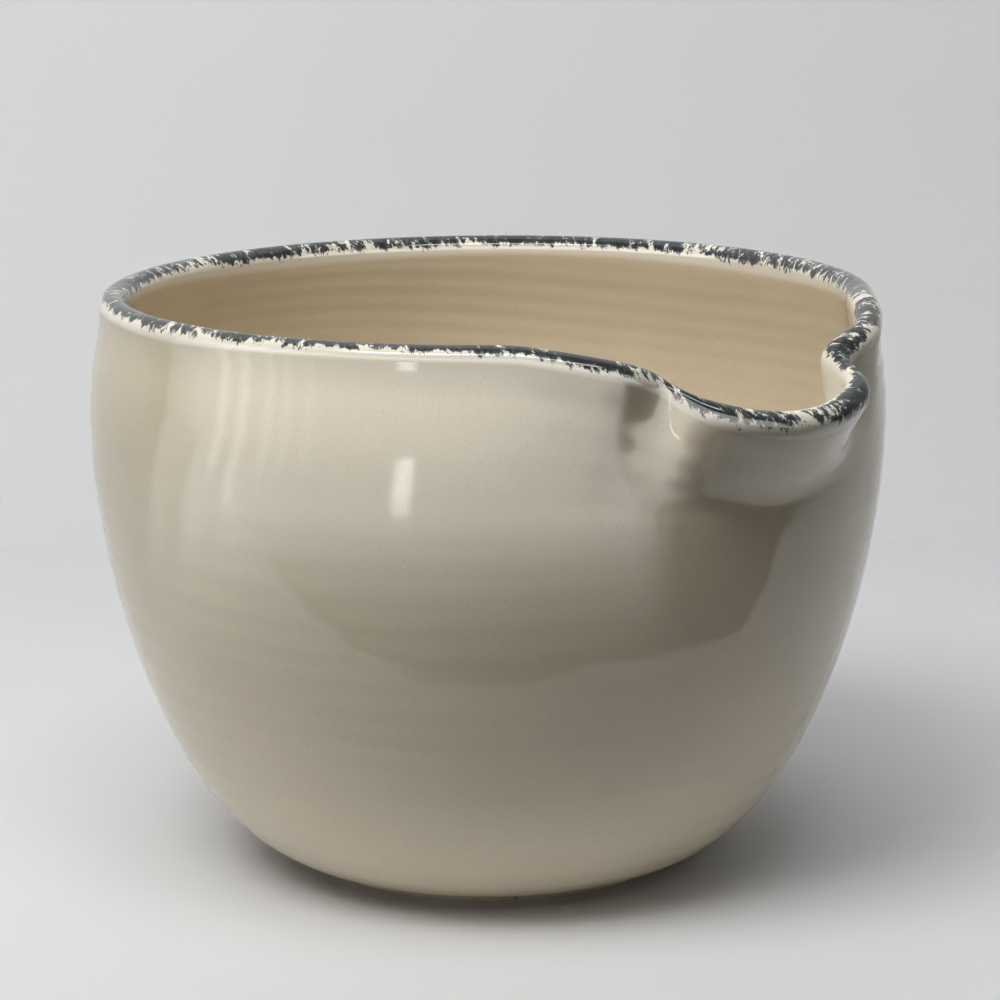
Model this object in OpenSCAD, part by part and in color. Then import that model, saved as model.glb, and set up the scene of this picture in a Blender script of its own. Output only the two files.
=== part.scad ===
// Stoneware batter bowl with a round belly, a thick soft lip and a pinched pouring spout.
// Millimetres. The origin is the middle of the foot, on the table. Z is up and the spout points to +X.
// The bowl is one thrown and fired piece. Its nodes are the layers that the potter puts on one
// after the other: the clay, the glaze outside, the glaze inside and the sponged colour on the lip.

/* [Body] */
// Height of the lip above the table
body_h = 161; // [140:1:190]
// Outside diameter at the widest part of the belly
belly_d = 220; // [190:1:260]
// Height of the widest part of the belly
belly_z = 126; // [105:1:135]
// How far the outside of the lip stands in from the belly
rim_inset = 3.4; // [1:0.1:9]

/* [Wall and floor] */
// Clay wall at the belly
wall_t = 6.4; // [4:0.1:9]
// Clay floor above the recess
floor_t = 8.5; // [6:0.5:12]
// Diameter of the flat middle of the floor inside
floor_d = 85; // [70:1:100]

/* [Lip] */
// Thickness of the rolled lip, glaze included
lip_t = 8; // [6:0.1:11]

/* [Foot] */
// Outside diameter of the turned foot ring
foot_d = 108; // [90:1:120]
// Height of the foot ring below the belly curve
foot_h = 3; // [2:0.1:5]
// Width of the ring that rests on the table
foot_w = 9; // [6:0.5:14]
// Depth of the turned recess inside the ring
recess_h = 1.8; // [0.8:0.1:3]
// How far the side of the foot ring draws in towards the table
foot_taper = 1.5; // [0.5:0.1:3]

/* [Spout] */
// How far the spout's lip is pulled out of the round
spout_reach = 18; // [8:0.5:22]
// How far the spout's lip drops below the rim
spout_drop = 18.5; // [8:0.5:24]
// Height of wall below the lip that flares out with the spout
flare_h = 33; // [24:1:60]
// Height of wall below the lip that is drawn down with the spout
draw_h = 56; // [45:1:80]
// Thinning of the wall at the tip of the spout
spout_thin = 1; // [0:0.1:2.4]
// Half angle over which the wall is pulled out
pull_angle = 44; // [36:1:45]
// Half angle over which the lip drops
drop_angle = 38; // [28:1:40]
// How far the two finger pinches beside the spout go in
pinch_in = 7.5; // [2:0.5:8]
// Angle from the spout's axis to the middle of each pinch
pinch_angle = 20; // [18:0.5:26]
// Angle by which the fingers draw the flanks towards the spout's axis
squeeze_angle = 3.8; // [0:0.1:5]

/* [Glaze] */
// Thickness of the glaze and of the sponged colour
glaze_t = 0.5; // [0.3:0.05:0.9]
// Share of the lower belly curve that is left bare above the foot
bare_share = 0.05; // [0.02:0.01:0.12]

/* [Hidden] */
$fn = 96;

// Handles of the section's curves, as shares of the sizes that they follow
heel_share = 0.58;
heel_rise = 6;
belly_share = 0.41;
shoulder_share = 0.55;
neck_share = 0.3;
groove_share = 0.17;
inner_belly_share = 0.42;
inner_side_share = 0.29;
inner_heel_share = 0.71;
recess_slope = 1;

// Bends of the spout: half widths in degrees, and powers that round or sharpen the bends
pinch_half = 9;
squeeze_at = 24;
squeeze_half = 11.3;
pull_power = 0.9;
drop_power = 0.9;
draw_power = 1.15;
flare_power = 2;

// Above the split the quarter turn that holds the spout is lofted. All else is turned.
loft_angle = 360 / 4;
turn_angle = 360 - loft_angle;
half_angle = loft_angle / 2;
columns = 40;
middle_share = 0.72;

// Depth of the fine throwing line at the split, as a share of the wall
seam_share = 0.01;

// Points along each stretch of the section
low_steps = 15;
floor_steps = 15;
mid_steps = 5;
up_steps = 5;
lip_steps = 6;

// Clay sizes that follow from the sizes above
belly_r = belly_d / 2 - glaze_t;
lip_rad = lip_t / 2 - glaze_t;
lip_r = belly_d / 2 - rim_inset - lip_t / 2;
lip_z = body_h - lip_t / 2;
lip_out = lip_r + lip_rad;
lip_in = lip_r - lip_rad;
inner_r = belly_r - wall_t;
foot_r = foot_d / 2;
floor_r = floor_d / 2;
floor_z = recess_h + floor_t;
upper_h = lip_z - belly_z;
lower_h = belly_z - foot_h;
inner_h = belly_z - floor_z;
flare = belly_r - foot_r;
inner_flare = inner_r - floor_r;
ring_in = foot_r - foot_w;

// A smooth hump: 1 at zero, 0 at one and beyond, level at both ends
function hump(x) = 0.5 + 0.5 * cos(180 * min(1, abs(x)));

// Point and direction of a curve with two handles
function curve_at(c, t) =
    (1 - t) ^ 3 * c[0] + 3 * t * (1 - t) ^ 2 * c[1] + 3 * t ^ 2 * (1 - t) * c[2] + t ^ 3 * c[3];
function curve_way(c, t) =
    (1 - t) ^ 2 * (c[1] - c[0]) + 2 * t * (1 - t) * (c[2] - c[1]) + t ^ 2 * (c[3] - c[2]);

// A station on the section: clay point, outward normal, and 0 outside or 1 inside
function station(p, way, side) = [p, [way[1], -way[0]] / norm(way), side];
function curve_stations(c, shares, side) =
    [for (t = shares) station(curve_at(c, t), curve_way(c, t), side)];

// The four curves of the section, all drawn from the foot round over the lip to the floor
lower_out = [
    [foot_r, foot_h],
    [foot_r + heel_share * flare * cos(heel_rise), foot_h + heel_share * flare * sin(heel_rise)],
    [belly_r, belly_z - belly_share * lower_h],
    [belly_r, belly_z]
];
upper_out = [
    [belly_r, belly_z],
    [belly_r, belly_z + shoulder_share * upper_h],
    [lip_out, lip_z - neck_share * upper_h],
    [lip_out, lip_z]
];
upper_in = [
    [lip_in, lip_z],
    [lip_in, lip_z - groove_share * upper_h],
    [inner_r, belly_z + inner_belly_share * upper_h],
    [inner_r, belly_z]
];
lower_in = [
    [inner_r, belly_z],
    [inner_r, belly_z - inner_side_share * inner_h],
    [floor_r + inner_heel_share * inner_flare, floor_z],
    [floor_r, floor_z]
];

// Bare clay of the foot, from the middle of the recess to the start of the belly curve
foot_stations = [
    [[0, recess_h], [0, -1], 0],
    [[ring_in - recess_slope * recess_h, recess_h], [0, -1], 0],
    [[ring_in, 0], [0, -1], 0],
    [[foot_r - foot_taper, 0], [0, -1], 0],
    [[foot_r, foot_h], [1, 0], 0]
];

// Nothing below the split moves with the spout. The wall above it starts a hair thinner, at the seam.
split_z = lip_z - lip_rad - max(draw_h, flare_h);
seam_depth = seam_share * wall_t;

// Share of the way along a rising or falling curve at which it crosses a height
function crossing(c, z, low = 0, high = 1, halvings = 40) =
    let (middle = (low + high) / 2)
    let (below = (curve_at(c, middle)[1] < z) == (c[0][1] < c[3][1]))
    halvings == 0 ? middle : crossing(c, z, below ? middle : low, below ? high : middle, halvings - 1);

// A station at the split, moved into the wall by a depth. Its glaze is as thick as elsewhere.
function split_station(c, t, side, depth) =
    let (s = station(curve_at(c, t), curve_way(c, t), side))
    [[s[0][0] - depth * sign(s[1][0]), split_z], [1 / s[1][0], 0], side];

// Shares of the way along the curves: up the outside from the glaze line, and down the inside
split_out = crossing(lower_out, split_z);
split_in = crossing(lower_in, split_z);
low_shares = [for (i = [0 : low_steps - 1]) bare_share + (split_out - bare_share) * i / low_steps];
mid_shares = [for (i = [1 : mid_steps - 1]) split_out + (1 - split_out) * i / mid_steps];
up_shares = [for (i = [0 : up_steps - 1]) i / up_steps];
back_up_shares = [for (i = [1 : up_steps]) i / up_steps];
back_mid_shares = [for (i = [1 : mid_steps - 1]) split_in * i / mid_steps];
floor_shares = [for (i = [1 : floor_steps]) split_in + (1 - split_in) * i / floor_steps];

// The lip's half round, from its outside to its inside
lip_stations = [
    for (i = [0 : 2 * lip_steps])
        let (a = 180 * i / (2 * lip_steps))
        [[lip_r + lip_rad * cos(a), lip_z + lip_rad * sin(a)], [cos(a), sin(a)], i / (2 * lip_steps)]
];
centre_station = [[0, floor_z], [0, 1], 1];

// All stations under glaze or colour, from the glaze line outside to the middle of the floor
skin = concat(
    curve_stations(lower_out, low_shares, 0),
    [split_station(lower_out, split_out, 0, 0), split_station(lower_out, split_out, 0, seam_depth)],
    curve_stations(lower_out, mid_shares, 0),
    curve_stations(upper_out, up_shares, 0),
    lip_stations,
    curve_stations(upper_in, back_up_shares, 1),
    curve_stations(lower_in, back_mid_shares, 1),
    [split_station(lower_in, split_in, 1, seam_depth), split_station(lower_in, split_in, 1, 0)],
    curve_stations(lower_in, floor_shares, 1),
    [centre_station]
);
low_last = low_steps;
high_first = low_last + 1;
lip_first = high_first + mid_steps + up_steps;
lip_last = lip_first + 2 * lip_steps;
high_last = lip_last + up_steps + mid_steps;
floor_first = high_last + 1;
skin_last = len(skin) - 1;

// Clay and glaze surface points at a station, each with its side of the wall
function clay_at(s) = [s[0][0], s[0][1], s[2]];
function glaze_at(s) = [s[0][0] + glaze_t * s[1][0], s[0][1] + glaze_t * s[1][1], s[2]];

// The clay below the split, with the floor and the foot, and the clay wall above it
low_clay = concat(
    [for (s = foot_stations) clay_at(s)],
    [for (i = [0 : low_last]) clay_at(skin[i])],
    [for (i = [floor_first : skin_last]) clay_at(skin[i])]
);
high_clay = [for (i = [high_first : high_last]) clay_at(skin[i])];

// A layer on the clay between two stations: out along its face and back along the clay
function layer_loop(first, last) = concat(
    [for (i = [first : last]) glaze_at(skin[i])],
    [for (i = [last : -1 : first]) clay_at(skin[i])]
);

// Shares of the flare and of the draw at a height: whole at the lip, none below the wall they reach.
// The flare starts softly below the lip's roll, so that the wall meets the roll without a crease.
function soft(d) = norm([d, lip_rad]) - lip_rad;
function flare_share(z) = max(0, 1 - soft(max(0, lip_z - z)) / flare_h) ^ flare_power;
function draw_share(z) = hump(max(0, lip_z - lip_rad - z) / draw_h) ^ draw_power;

// Where a point of the section goes at an angle from the spout's axis
function pull_r(a) = spout_reach * hump(a / pull_angle) ^ pull_power;
function pinch_r(a) = pinch_in * hump((abs(a) - pinch_angle) / pinch_half);
function thin_r(a) = spout_thin * hump(a / pinch_angle);
function squeeze(a) = sign(a) * squeeze_angle * hump((abs(a) - squeeze_at) / squeeze_half);
function drop(a) = spout_drop * hump(a / drop_angle) ^ drop_power;
function spout_point(p, a) =
    let (f = flare_share(p[1]))
    let (r = p[0] + f * (pull_r(a) - pinch_r(a) + p[2] * thin_r(a)))
    let (turn = half_angle + a - f * squeeze(a))
    [r * cos(turn), r * sin(turn), p[1] - draw_share(p[1]) * drop(a)];

// Angle of a column of the loft from the spout's axis: columns lie closer together in the middle
function column_angle(j) =
    let (u = 2 * j / columns - 1)
    half_angle * u * (middle_share + (1 - middle_share) * u * u);

// Faces between two columns for one edge of the loop. The diagonal of every pair joins the same two
// stations on both sides of a shared surface, so clay and glaze lie face to face.
function side_faces(j, n, from, to, flip) =
    let (a = j * n + from)
    let (b = j * n + to)
    flip
        ? [[a, b, a + n], [b, b + n, a + n]]
        : [[a, b, b + n], [a, b + n, a + n]];

// A face is left out where two of its corners meet, as at the top of the lip
function has_area(p, f) =
    norm(p[f[0]] - p[f[1]]) > 0 && norm(p[f[1]] - p[f[2]]) > 0 && norm(p[f[2]] - p[f[0]]) > 0;

// Quarter that holds the spout: columns of the loop, closed at each end by a strip across the loop.
// Edges from the station "back" on run along the clay in the other direction.
module lofted_quarter(loop, back) {
    n = len(loop);
    strips = floor((n - 1) / 2);
    end = columns * n;
    points = [for (j = [0 : columns]) for (p = loop) spout_point(p, column_angle(j))];
    sides = [
        for (j = [0 : columns - 1])
            for (i = [0 : n - 1])
                for (f = side_faces(j, n, i, (i + 1) % n, i >= back))
                    if (has_area(points, f)) f
    ];
    caps = [
        for (i = [0 : strips - 1])
            let (q = [i, i + 1, n - 2 - i, n - 1 - i])
            for (f = [
                [q[0], q[2], q[1]],
                [q[0], q[3], q[2]],
                [end + q[0], end + q[1], end + q[2]],
                [end + q[0], end + q[2], end + q[3]]
            ])
                if (has_area(points, f)) f
    ];
    polyhedron(points, concat(sides, caps), convexity = 6);
}

// A closed loop of the section turned all the way round
module turned(loop) {
    rotate_extrude()
        polygon([for (p = loop) [p[0], p[1]]]);
}

// A closed loop of the section above the split: three quarters turned, one lofted with the spout
module turned_and_pulled(loop, back) {
    rotate_extrude(angle = turn_angle, start = loft_angle)
        polygon([for (p = loop) [p[0], p[1]]]);
    lofted_quarter(loop, back);
}

// Turns the middle of the lofted quarter, and with it the spout, to +X
module spout_to_front() {
    rotate([0, 0, -half_angle])
        union() {
            children();
        }
}

// Clay wall, floor, foot ring and pulled spout in one piece
module stoneware_body() {
    color("#d9c9a8")
        spout_to_front() {
            turned(low_clay);
            turned_and_pulled(high_clay, len(high_clay));
        }
}

// Clear cream glaze on the outside, from the glaze line to the lip
module outside_glaze() {
    loop = layer_loop(high_first, lip_first);
    color("#e4dac2")
        spout_to_front() {
            turned(layer_loop(0, low_last));
            turned_and_pulled(loop, len(loop) / 2);
        }
}

// Liner glaze on the inside, from the lip to the middle of the floor
module inside_glaze() {
    loop = layer_loop(lip_last, high_last);
    color("#cdbb92")
        spout_to_front() {
            turned_and_pulled(loop, len(loop) / 2);
            turned(layer_loop(floor_first, skin_last));
        }
}

// Sponged colour over the round of the lip, spout included
module sponged_rim() {
    loop = layer_loop(lip_first, lip_last);
    color("#46545c")
        spout_to_front()
            turned_and_pulled(loop, len(loop) / 2);
}

stoneware_body();
outside_glaze();
inside_glaze();
sponged_rim();
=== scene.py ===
import math

import bpy
import numpy as np
from bpy.props import FloatProperty, FloatVectorProperty, PointerProperty
from bpy.types import Operator, Panel, PropertyGroup
from mathutils import Matrix, Vector


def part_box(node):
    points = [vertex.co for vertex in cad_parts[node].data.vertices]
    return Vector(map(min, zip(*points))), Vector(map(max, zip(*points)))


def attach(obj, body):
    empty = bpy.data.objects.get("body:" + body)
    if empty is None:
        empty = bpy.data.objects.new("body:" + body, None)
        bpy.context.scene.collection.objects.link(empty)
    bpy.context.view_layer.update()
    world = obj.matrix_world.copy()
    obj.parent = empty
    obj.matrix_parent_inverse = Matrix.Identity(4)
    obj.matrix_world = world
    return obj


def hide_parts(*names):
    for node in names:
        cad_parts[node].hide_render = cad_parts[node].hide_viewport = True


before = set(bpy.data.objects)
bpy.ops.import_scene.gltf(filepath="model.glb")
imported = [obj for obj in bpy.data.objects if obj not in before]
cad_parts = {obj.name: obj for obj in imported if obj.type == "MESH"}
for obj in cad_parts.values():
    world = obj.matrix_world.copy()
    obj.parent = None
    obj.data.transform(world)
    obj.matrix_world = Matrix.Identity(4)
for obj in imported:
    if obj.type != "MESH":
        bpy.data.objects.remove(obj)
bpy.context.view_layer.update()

bl_info = {
    "name": "Batter bowl",
    "version": (1, 0, 0),
    "blender": (4, 5, 0),
    "location": "View3D > Sidebar > Bowl",
    "description": "A thrown batter bowl with cream glaze, a pulled spout and a sponged lip",
    "category": "Object",
}

# Handles of the section's curves, as shares of the sizes that they follow
HEEL_SHARE = 0.58
HEEL_RISE = math.radians(6)
BELLY_SHARE = 0.41
SHOULDER_SHARE = 0.55
NECK_SHARE = 0.3
GROOVE_SHARE = 0.17
INNER_BELLY_SHARE = 0.42
INNER_SIDE_SHARE = 0.29
INNER_HEEL_SHARE = 0.71

# Bends of the spout: half widths in degrees, and powers that round or sharpen the bends
PINCH_HALF = 9.0
SQUEEZE_AT = 24.0
SQUEEZE_HALF = 11.3
PULL_POWER = 0.9
DROP_POWER = 0.9
DRAW_POWER = 1.15
FLARE_POWER = 2.0

# Rows of the surface along each stretch of the section, from the glaze line over the lip to the
# middle of the floor, and rows of a coat's back
LOW_ROWS = 100
UP_ROWS = 44
LIP_ROWS = 40
FLOOR_ROWS = 22
BACK_ROWS = 22

# Points of the fine line that a curve's length is summed over
FINE_STEPS = 800

# Columns round the bowl: half of them within these degrees of the spout, and half round the back
HALF_COLUMNS = 236
SPOUT_HALF = 52

# Throwing marks in metres: how far apart the wide rings inside, the fine ones between them and the
# rings outside are, and the stretch from the lip's crest over which the marks fade in
WIDE_PITCH = 0.0125
FINE_PITCH = 0.0058
OUTER_PITCH = 0.0085
MARKS_FROM = 0.001
INSIDE_FADE = 0.012
OUTSIDE_FADE = 0.014

# Shares of the wide and the fine rings, how far the fine ones drift and where they start, and how
# much of the wobble the lip keeps; the rings swell by a plain share and a wave: size, climb, start
WIDE_SHARE, FINE_SHARE = 0.62, 0.3
FINE_DRIFT, FINE_START = 1.7, 0.6
LIP_WOBBLE = 0.25
SWELL_PLAIN, SWELL_SIZE, SWELL_CLIMB, SWELL_START = 0.55, 0.45, 41, 1.3

# Slow waves of the hand: size, turns round the bowl, climb along the section, start
DRIFT_WAVES = ((1.4, 2, 34, 0.0), (0.8, 3, -61, 1.0))
WALL_WAVES = ((0.22, 2, 11, 0.7), (0.17, 3, -17, 2.1), (0.11, 5, 29, 0.3))

# The glaze's lower edge: width of its rounding, and the least share of it that stays
EDGE_WIDTH = 0.0016
EDGE_LEAST = 0.0004

# Sponged dabs: their lean along the lip for each step across it, and what a step across counts
DAB_LEAN = 0.25
DAB_SQUASH = 0.62

# Edges of the band in metres from the lip's crest: plain, what the spout adds, and over how many
# degrees on either side; then how far the edges wander
BAND_OUTER = (0.0060, 0.0032, 46)
BAND_INNER = (0.0073, -0.0054, 34)
BAND_WANDER = 0.0004
INNER_WANDER = 0.0006

# The pale lip inside the spout: its least width past the band, and on each flank how far down the
# painted light of the lit flank goes in metres, and where and how wide the flank is in degrees
PALE_LIT_LEAST = 0.0004
LIT_FLANK_DOWN = 0.016
LIT_FLANK_AT = 17
LIT_FLANK_HALF = 15

# The clay's rows: of the outside wall, the lip and the inside; then in metres the foot's steps, how
# far its corners are rounded, by how many points, and the radius of the first ring
CLAY_ROWS = (34, 16, 44)
FOOT_STEP = 0.0009
FOOT_ROUND = 0.0007
FOOT_CORNER_POINTS = 7
MIDDLE_RING = 0.0012

# Turning lines in the recess, in metres: how far apart and deep, and how far they keep off the ring
TURNING_PITCH = 0.0052
TURNING_DEPTH = 0.00022
TURNING_MARGIN = 0.002

# The least length of a cross product that still gives a normal
TINY = 1e-14

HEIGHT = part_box("sponged_rim")[1].z


def length(name, description, default):
    """A length in metres."""
    return FloatProperty(name=name, description=description, default=default, min=0.0, max=1.0,
                         subtype="DISTANCE", unit="LENGTH", precision=5)


def angle(name, description, degrees):
    """An angle, given in degrees and kept in radians."""
    return FloatProperty(name=name, description=description, default=math.radians(degrees),
                         min=0.0, max=math.radians(60), subtype="ANGLE", unit="ROTATION")


def colour(name, description, default):
    """A linear colour."""
    return FloatVectorProperty(name=name, description=description, default=default,
                               min=0.0, max=1.0, size=3, subtype="COLOR")


def amount(name, description, default, high=1.0):
    """A number without a unit."""
    return FloatProperty(name=name, description=description, default=default, min=0.0, max=high)


class BowlSizes(PropertyGroup):
    """Sizes of the thrown bowl."""

    height: length("Height", "Height of the lip above the ground", HEIGHT)
    belly: length("Belly", "Outside diameter at the widest part", 0.220)
    belly_height: length("Belly height", "Height of the widest part", 0.126)
    rim_inset: length("Rim inset", "How far the lip stands in from the belly", 0.0034)
    wall: length("Wall", "Clay wall at the belly", 0.0064)
    floor: length("Floor", "Clay floor above the recess", 0.0085)
    floor_width: length("Floor width", "Diameter of the flat middle of the floor", 0.085)
    lip: length("Lip", "Thickness of the rolled lip, glaze included", 0.008)
    foot: length("Foot", "Outside diameter of the foot ring", 0.108)
    foot_height: length("Foot height", "Height of the foot ring", 0.003)
    foot_width: length("Foot width", "Width of the ring that rests on the ground", 0.009)
    recess: length("Recess", "Depth of the recess inside the ring", 0.0018)
    foot_taper: length("Foot taper", "How far the ring draws in towards the ground", 0.0015)
    glaze: length("Glaze", "Thickness of the glaze", 0.0005)
    bare_share: amount("Bare share", "Share of the lower curve left bare at the foot", 0.05)


class SpoutSizes(PropertyGroup):
    """Sizes of the pulled and pinched spout."""

    reach: length("Reach", "How far the lip is pulled out of the round", 0.018)
    drop: length("Drop", "How far the lip drops below the rim", 0.0185)
    flare: length("Flare", "Height of wall that flares out", 0.033)
    draw: length("Draw", "Height of wall that is drawn down", 0.056)
    thinning: length("Thinning", "Thinning of the wall at the tip", 0.001)
    pinch: length("Pinch", "How far the two finger pinches go in", 0.0075)
    pull_angle: angle("Pull angle", "Half angle over which the wall is pulled out", 44)
    drop_angle: angle("Drop angle", "Half angle over which the lip drops", 38)
    pinch_angle: angle("Pinch angle", "Angle from the spout's axis to each pinch", 20)
    squeeze_angle: angle("Squeeze", "Angle by which the flanks are drawn together", 3.8)


class BowlFinish(PropertyGroup):
    """Colours and marks of the clay, the glaze and the sponged lip."""

    cream: colour("Cream glaze", "Cream glaze outside", (0.672, 0.590, 0.444))
    liner: colour("Liner glaze", "Liner glaze inside", (0.668, 0.580, 0.430))
    # The pale lip's colour: a paler glaze on the lip, and painted light on its top and down the
    # spout's lit inner flanks
    pale: colour("Pale lip", "Thick pale glaze on the lip", (0.850, 0.810, 0.710))
    clay: colour("Clay", "Bare stoneware of the foot", (0.420, 0.330, 0.225))
    sponge: colour("Sponged colour", "Charcoal of the sponged dabs", (0.010, 0.017, 0.021))
    sponge_thin: colour("Thin colour", "The same colour where it is thin", (0.070, 0.088, 0.100))
    speck: colour("Specks", "Iron specks in the glaze", (0.300, 0.235, 0.150))
    ring_depth: length("Ring depth", "Depth of the throwing rings inside", 0.00014)
    outer_ring_depth: length("Outer ring depth", "Depth of the throwing rings outside", 0.00010)
    wobble: length("Wobble", "How far the wall strays from a true round", 0.00022)


class BowlStage(PropertyGroup):
    """Floor, backdrop and light."""

    floor: colour("Floor", "Colour of the floor", (0.660, 0.668, 0.690))
    backdrop: colour("Backdrop", "Colour of the backdrop", (0.790, 0.800, 0.812))
    window: amount("Window", "Power of the soft light from the window", 12.8, 500.0)
    overhead: amount("Overhead", "Power of the soft light from above", 10.3, 500.0)
    low: amount("Low light", "Power of the low light from the left", 1.0, 500.0)
    line: amount("Line", "Strength of the narrow light along the lip", 15.0, 50.0)
    pane: amount("Pane", "Strength of the bright panes in the gloss", 12.5, 50.0)
    veil: amount("Veil", "Strength of the bright room in the gloss", 4.1, 50.0)
    sky: amount("Sky", "Strength of the light all round", 0.03, 10.0)


# ---- Shape of the bowl


def hump(x):
    """One at zero, none from one on, level at both: half of one plus the cosine of x half turns."""
    return 0.5 + 0.5 * np.cos(np.pi * np.minimum(1, np.abs(x)))


def ease(low, high, x):
    """None below low, one above high, and between them three squares less two cubes of the way."""
    t = np.clip((x - low) / (high - low), 0, 1)
    return t * t * (3 - 2 * t)


def curve_points(c, t):
    """Points of a curve with two handles at shares t: four points weighed by a cubic's terms."""
    t = np.asarray(t, float)[:, None]
    return ((1 - t) ** 3 * c[0] + 3 * t * (1 - t) ** 2 * c[1] + 3 * t * t * (1 - t) * c[2]
            + t ** 3 * c[3])


def curve_normals(c, t):
    """Directions at right angles to the curve, to the right of the way it is drawn.

    The way is the curve's slope: the steps between its four points, weighed by the square's terms.
    """
    t = np.asarray(t, float)[:, None]
    way = (1 - t) ** 2 * (c[1] - c[0]) + 2 * t * (1 - t) * (c[2] - c[1]) + t * t * (c[3] - c[2])
    way /= np.linalg.norm(way, axis=1)[:, None]
    return np.stack([way[:, 1], -way[:, 0]], 1)


def even_shares(c, start, end, count):
    """Shares of a curve that lie evenly along its length.

    The length is summed over a fine line of straight steps, and the shares are read back from it.
    """
    fine = np.linspace(start, end, FINE_STEPS)
    steps = np.linalg.norm(np.diff(curve_points(c, fine), axis=0), axis=1)
    along = np.concatenate([[0], np.cumsum(steps)])
    return np.interp(np.linspace(0, along[-1], count), along, fine)


def section_curves(s):
    """The four curves of the clay section, each from two end points and two handles.

    The handles lie at shares of the sizes that the curve spans.
    """
    belly_r = s.belly / 2 - s.glaze
    lip_rad = s.lip / 2 - s.glaze
    lip_r = s.belly / 2 - s.rim_inset - s.lip / 2
    lip_z = s.height - s.lip / 2
    inner_r = belly_r - s.wall
    foot_r = s.foot / 2
    floor_r = s.floor_width / 2
    floor_z = s.recess + s.floor
    upper_h = lip_z - s.belly_height
    lower_h = s.belly_height - s.foot_height
    inner_h = s.belly_height - floor_z
    flare = belly_r - foot_r
    lip_out, lip_in = lip_r + lip_rad, lip_r - lip_rad
    z = s.belly_height
    return {
        "lower_out": np.array([
            [foot_r, s.foot_height],
            [foot_r + HEEL_SHARE * flare * math.cos(HEEL_RISE),
             s.foot_height + HEEL_SHARE * flare * math.sin(HEEL_RISE)],
            [belly_r, z - BELLY_SHARE * lower_h],
            [belly_r, z]]),
        "upper_out": np.array([
            [belly_r, z], [belly_r, z + SHOULDER_SHARE * upper_h],
            [lip_out, lip_z - NECK_SHARE * upper_h], [lip_out, lip_z]]),
        "upper_in": np.array([
            [lip_in, lip_z], [lip_in, lip_z - GROOVE_SHARE * upper_h],
            [inner_r, z + INNER_BELLY_SHARE * upper_h], [inner_r, z]]),
        "lower_in": np.array([
            [inner_r, z], [inner_r, z - INNER_SIDE_SHARE * inner_h],
            [floor_r + INNER_HEEL_SHARE * (inner_r - floor_r), floor_z], [floor_r, floor_z]]),
        "lip": (lip_r, lip_z, lip_rad),
        "floor": (floor_r, floor_z),
    }


def skin_rows(s):
    """Rows of the glazed skin from the glaze line over the lip to the middle of the floor.

    Each row has a clay point, the direction out of the clay, the side (0 outside, 1 inside) and the
    distance along the section from the lip's crest, below zero outside and above zero inside.
    """
    c = section_curves(s)
    lip_r, lip_z, lip_rad = c["lip"]
    floor_r, floor_z = c["floor"]
    points, normals, sides = [], [], []

    def add(p, n, side):
        points.append(p)
        normals.append(n)
        sides.append(side)

    for name, start, count in (("lower_out", s.bare_share, LOW_ROWS), ("upper_out", 0, UP_ROWS)):
        t = even_shares(c[name], start, 1, count + 1)[:-1]
        add(curve_points(c[name], t), curve_normals(c[name], t), np.zeros(len(t)))
    a = np.linspace(0, math.pi, LIP_ROWS + 1)
    ring = np.stack([np.cos(a), np.sin(a)], 1)
    add(np.array([lip_r, lip_z]) + lip_rad * ring, ring, a / math.pi)
    for name, count in (("upper_in", UP_ROWS), ("lower_in", LOW_ROWS)):
        t = even_shares(c[name], 0, 1, count + 1)[1:]
        add(curve_points(c[name], t), curve_normals(c[name], t), np.ones(len(t)))
    r = np.linspace(floor_r, 0, FLOOR_ROWS + 1)[1:]
    upwards = np.tile([0.0, 1.0], (len(r), 1))
    add(np.stack([r, np.full(len(r), floor_z)], 1), upwards, np.ones(len(r)))
    p, n, side = np.vstack(points), np.vstack(normals), np.concatenate(sides)
    outer = p + s.glaze * n
    run = np.concatenate([[0], np.cumsum(np.linalg.norm(np.diff(outer, axis=0), axis=1))])
    first = LOW_ROWS + UP_ROWS
    crest = first + LIP_ROWS // 2
    return {"p": p, "n": n, "side": side, "run": run - run[crest], "start": 0,
            "rim": first, "crest": crest, "liner": first + LIP_ROWS, "middle": len(run) - 1}


def column_angles():
    """Angles of the columns in degrees from the spout: close over it, wider round the back."""
    near = np.linspace(-SPOUT_HALF, SPOUT_HALF, HALF_COLUMNS, endpoint=False)
    far = np.linspace(SPOUT_HALF, 360 - SPOUT_HALF, HALF_COLUMNS, endpoint=False)
    return np.concatenate([near, far])


def signed_angles():
    """The same angles, below zero on one side of the spout and above it on the other."""
    a = column_angles()
    return np.where(a > 180, a - 360, a)


def pull_spout(s, p, r, z, side):
    """Section points turned about the axis at every column, with the spout pulled out of the round.

    On the wall that the spout moves, the radius grows by the pull, less the two pinches, and plus
    the thinning on the inside. The angle closes in by the squeeze, and the height falls by the
    drop. Each is a hump of the angle, times a share that fades from one at the lip to none below.
    """
    signed = signed_angles()[None, :]
    lip_z, lip_rad = section_curves(s)["lip"][1:]
    pull_half, drop_half = math.degrees(p.pull_angle), math.degrees(p.drop_angle)
    pinch_at = math.degrees(p.pinch_angle)
    soft = np.hypot(np.maximum(0, lip_z - z), lip_rad) - lip_rad
    flare = np.maximum(0, 1 - soft / p.flare) ** FLARE_POWER
    draw = hump(np.maximum(0, lip_z - lip_rad - z) / p.draw) ** DRAW_POWER
    pull = p.reach * hump(signed / pull_half) ** PULL_POWER
    pinch = p.pinch * hump((np.abs(signed) - pinch_at) / PINCH_HALF)
    thin = p.thinning * hump(signed / pinch_at)
    squeeze = (np.sign(signed) * math.degrees(p.squeeze_angle)
               * hump((np.abs(signed) - SQUEEZE_AT) / SQUEEZE_HALF))
    drop = p.drop * hump(signed / drop_half) ** DROP_POWER
    radius = r + flare * (pull - pinch + side * thin)
    turn = np.radians(signed - flare * squeeze)
    return np.stack([radius * np.cos(turn), radius * np.sin(turn), z - draw * drop], -1)


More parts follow.
